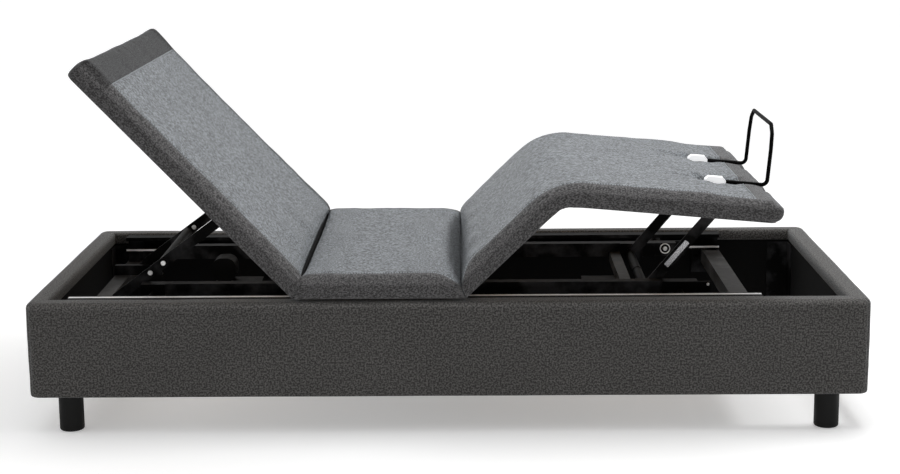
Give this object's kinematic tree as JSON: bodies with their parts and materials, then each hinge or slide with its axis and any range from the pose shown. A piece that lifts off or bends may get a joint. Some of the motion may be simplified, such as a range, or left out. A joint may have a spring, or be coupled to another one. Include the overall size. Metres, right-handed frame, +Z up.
{
  "type": "adjustable bed base",
  "caption": "Adjustable bed base: padded surround on short legs, wall-hugging carriage, folding upholstered deck with raising back and bent legs, linkages and a wire mattress retainer.",
  "frame": {"origin": "on the floor under the centre of the surround", "axes": "+X towards the foot end, +Y across the bed, +Z up"},
  "size_m": [2.03, 0.92, 0.9039],
  "materials": {
    "surround_fabric": "charcoal woven upholstery",
    "deck_fabric": "grey smooth knitted ticking with charcoal edges",
    "plywood": "raw plywood",
    "black_board": "board lined in black cloth",
    "black_steel": "satin black powder coat",
    "black_plastic": "fine-textured black",
    "nylon": "semi-gloss",
    "zinc_steel": "bright zinc plate",
    "white_plastic": "semi-gloss moulded",
    "label_silver": "blank satin foil plate"
  },
  "bodies": {
    "base": {"left_side_cover": "surround_fabric", "right_side_cover": "surround_fabric", "head_end_cover": "surround_fabric", "foot_end_cover": "surround_fabric", "surround_boards": "black_board", "legs": "black_plastic", "corner_brackets": "black_steel", "tracks": "black_steel", "track_cross_tubes": "black_steel", "frame_brackets": "black_steel", "base_bolts": "black_steel", "link_guides": "black_steel"},
    "carriage": {"carriage_rails": "black_steel", "carriage_cross_tubes": "black_steel", "roller_axles": "black_steel", "carriage_brackets": "black_steel", "seat_board": "plywood", "seat_pad": "deck_fabric", "seat_hinge_leaves": "black_steel", "seat_hinge_fasteners": "zinc_steel", "leg_actuator_housing": "black_plastic", "leg_actuator_motor": "black_plastic", "actuator_hangers": "black_steel", "electrics_trays": "black_steel", "control_box": "black_plastic", "power_supply": "black_plastic"},
    "head_rollers": {"head_rollers": "nylon"},
    "foot_rollers": {"foot_rollers": "nylon"},
    "back_deck": {"back_board": "plywood", "back_pad": "deck_fabric", "back_hinge_leaves": "black_steel", "back_hinge_screws": "zinc_steel", "link_brackets": "black_steel", "back_deck_pins": "zinc_steel", "trunnion_bracket": "black_steel"},
    "back_links": {"back_links": "black_steel", "link_glides": "zinc_steel", "link_cross_tube": "black_steel", "link_bolts": "zinc_steel"},
    "back_actuator": {"back_actuator_housing": "black_plastic", "back_actuator_tube": "black_steel", "back_actuator_motor": "black_plastic"},
    "back_rod": {"back_actuator_rod": "zinc_steel"},
    "thigh_deck": {"thigh_board": "plywood", "thigh_pad": "deck_fabric", "thigh_hinge_leaves": "black_steel", "thigh_hinge_fasteners": "zinc_steel"},
    "calf_deck": {"calf_board": "plywood", "calf_pad": "deck_fabric", "calf_hinge_leaves": "black_steel", "calf_hinge_screws": "zinc_steel", "calf_brackets": "black_steel", "calf_pins": "zinc_steel", "retainer_bar": "black_steel", "retainer_clips": "white_plastic"},
    "leg_lift": {"torque_tube": "black_steel", "lift_arms": "black_steel", "arm_label": "label_silver", "lift_crank": "black_steel"},
    "leg_rod": {"leg_actuator_rod": "zinc_steel"}
  },
  "joints": [
    {"name": "back_hinge", "type": "hinge", "parent": "carriage", "child": "back_deck", "pos_m": [-0.373, 0, 0.323], "axis": [0, 1, 0], "range_deg": [-46.4, 13.6]},
    {"name": "carriage_slide", "type": "slide", "parent": "base", "child": "carriage", "axis": [1, 0, 0], "range_m": [-0.0335, 0.113]},
    {"name": "head_roller_spin", "type": "hinge", "parent": "carriage", "child": "head_rollers", "pos_m": [-0.74, 0, 0.297], "axis": [0, 1, 0], "range_deg": [-113, 381]},
    {"name": "foot_roller_spin", "type": "hinge", "parent": "carriage", "child": "foot_rollers", "pos_m": [0.58, 0, 0.297], "axis": [0, 1, 0], "range_deg": [-113, 381]},
    {"name": "back_link_hinge", "type": "hinge", "parent": "back_deck", "child": "back_links", "pos_m": [-0.5521, 0, 0.49077], "axis": [0, 1, 0], "range_deg": [-22.5, 75.6]},
    {"name": "back_actuator_hinge", "type": "hinge", "parent": "back_deck", "child": "back_actuator", "pos_m": [-0.48094, 0, 0.24783], "axis": [0, 1, 0], "range_deg": [-11.3, 37.8]},
    {"name": "back_rod_slide", "type": "slide", "parent": "back_actuator", "child": "back_rod", "axis": [1, 0, 0.0046], "range_m": [-0.0765, 0.0227]},
    {"name": "thigh_hinge", "type": "hinge", "parent": "carriage", "child": "thigh_deck", "pos_m": [0.048, 0, 0.323], "axis": [0, -1, 0], "range_deg": [-44, 1]},
    {"name": "knee_hinge", "type": "hinge", "parent": "thigh_deck", "child": "calf_deck", "pos_m": [0.27819, 0, 0.54529], "axis": [0, -1, 0], "range_deg": [-1.3, 49.4]},
    {"name": "leg_lift_hinge", "type": "hinge", "parent": "carriage", "child": "leg_lift", "pos_m": [0.497, 0, 0.293], "axis": [0, -1, 0], "range_deg": [-46.6, 1.2]},
    {"name": "leg_rod_slide", "type": "slide", "parent": "carriage", "child": "leg_rod", "axis": [1, 0, 0], "range_m": [-0.0758, 0.0019]}
  ],
  "couplings": [
    {"joint": "carriage_slide", "follows": "back_hinge", "m_per_rad": -0.13892},
    {"joint": "head_roller_spin", "follows": "back_hinge", "ratio": -8.1716},
    {"joint": "foot_roller_spin", "follows": "back_hinge", "ratio": -8.1716},
    {"joint": "back_link_hinge", "follows": "back_hinge", "ratio": -1.619},
    {"joint": "back_actuator_hinge", "follows": "back_hinge", "ratio": -0.806},
    {"joint": "back_rod_slide", "follows": "back_hinge", "m_per_rad": 0.0933},
    {"joint": "knee_hinge", "follows": "thigh_hinge", "ratio": -1.116},
    {"joint": "leg_lift_hinge", "follows": "thigh_hinge", "ratio": 1.055},
    {"joint": "leg_rod_slide", "follows": "thigh_hinge", "m_per_rad": 0.0983}
  ]
}
